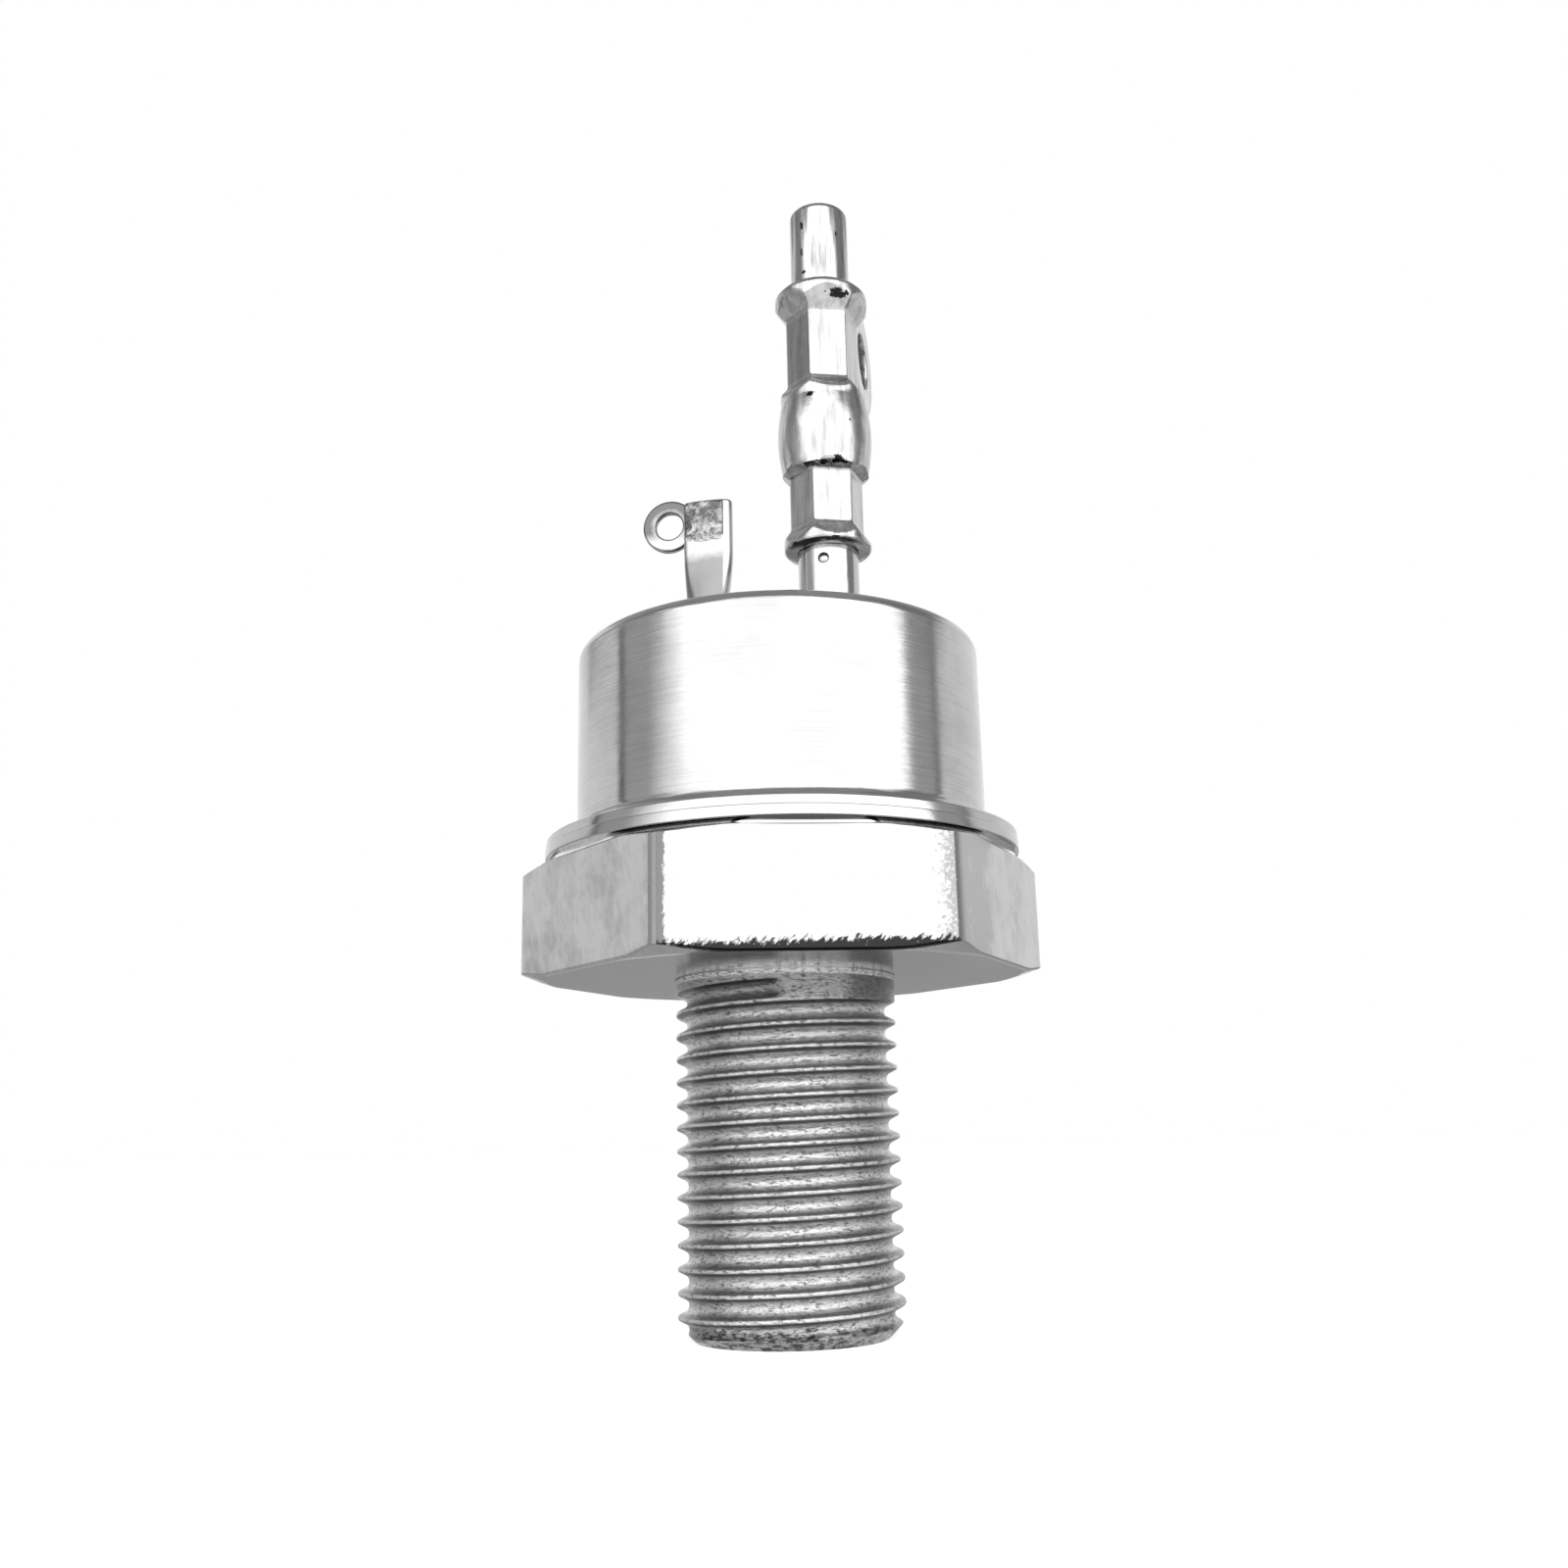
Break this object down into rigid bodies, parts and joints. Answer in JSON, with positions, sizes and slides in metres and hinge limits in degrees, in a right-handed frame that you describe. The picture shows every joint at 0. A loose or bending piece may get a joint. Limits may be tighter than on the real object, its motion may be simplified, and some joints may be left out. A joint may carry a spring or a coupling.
{
  "type": "stud thyristor",
  "caption": "Stud-mount power thyristor with a hexagon base, a steel cap, a rigid cathode tube with a crimped flag lug, and a gate tube with an eye.",
  "frame": {"origin": "centre of the seating face under the hexagon, on the stud's axis", "axes": "+Z along the stud's axis towards the terminals, +X towards the cathode tube, -X towards the gate tube"},
  "size_m": [0.0308, 0.028, 0.0699],
  "materials": {
    "plated_copper": "satin nickel plate on turned copper",
    "plated_steel": "bright nickel plate on steel",
    "brushed_cap": "fine turned brushing under nickel plate",
    "seal_glass": "glossy dark grey-green compression glass",
    "plated_tube": "bright nickel plate, lightly scuffed",
    "plated_lug": "bright tin-nickel plate with crimping marks",
    "plain_steel": "machined",
    "spring_steel": "blued and oiled",
    "silver": "soft matt silver",
    "molybdenum": "lapped",
    "silicon": "polished dark grey",
    "silicone": "clear to milky, glossy",
    "bare_copper": "bright drawn copper",
    "alumina": "fired, unglazed",
    "fluoropolymer": "waxy white"
  },
  "bodies": {
    "root": {"stud_base": "plated_copper", "weld_ring": "plated_steel", "cap_shell": "brushed_cap", "glass_seal": "seal_glass", "cathode_tube": "plated_tube", "cathode_lug": "plated_lug", "gate_tube": "plated_tube", "gate_lug": "plated_lug", "spring_collar": "plain_steel", "anode_foil": "silver", "anode_disc": "molybdenum", "silicon_pellet": "silicon", "junction_coating": "silicone", "cathode_foil": "silver", "cathode_disc": "molybdenum", "cathode_pole": "bare_copper", "pole_insulator": "alumina", "thrust_washer": "plain_steel", "disc_spring_1": "spring_steel", "disc_spring_2": "spring_steel", "disc_spring_3": "spring_steel", "retaining_ring": "spring_steel", "gate_contact": "silver", "gate_guide": "alumina", "gate_plug": "alumina", "gate_spring": "spring_steel", "gate_wire": "silver", "gate_sleeve": "fluoropolymer", "cathode_lead": "bare_copper"}
  },
  "joints": []
}
